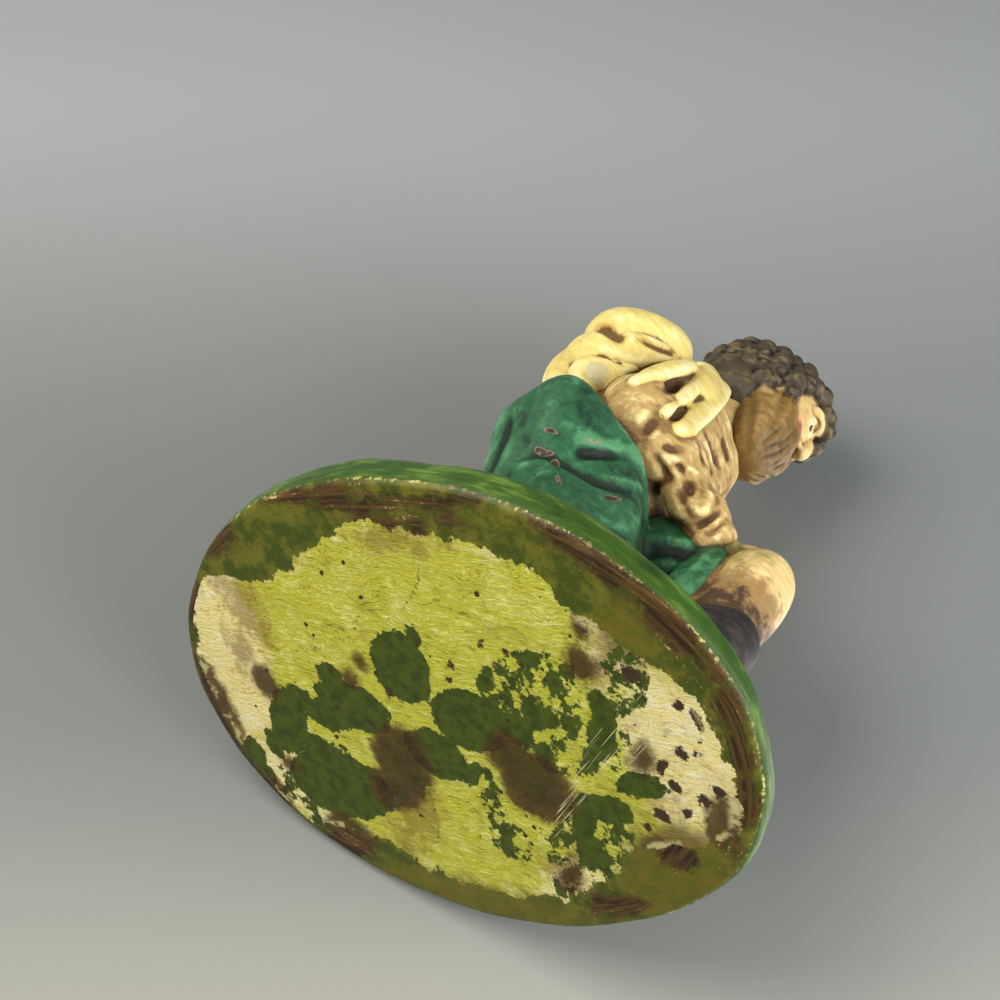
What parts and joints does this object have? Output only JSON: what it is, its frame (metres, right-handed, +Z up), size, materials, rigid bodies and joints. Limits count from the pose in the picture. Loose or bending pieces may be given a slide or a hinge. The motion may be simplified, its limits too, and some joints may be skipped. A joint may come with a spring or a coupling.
{
  "type": "plaster nativity figurine",
  "caption": "Painted cast plaster nativity figurine: a bearded shepherd kneels on an oval green mound with a cloth bundle on his back. It stands on its flat underside.",
  "frame": {"origin": "the middle of the base's flat underside, where the figurine rests", "axes": "+Z up, the figure faces -Y with +X at its left, and the oval base is longest along Y"},
  "size_m": [0.0663, 0.0893, 0.1016],
  "materials": {
    "painted_plaster": "hand-painted plaster, aged, with a thin varnish"
  },
  "bodies": {
    "root": {"kneeling_shepherd": "painted_plaster"}
  },
  "joints": []
}
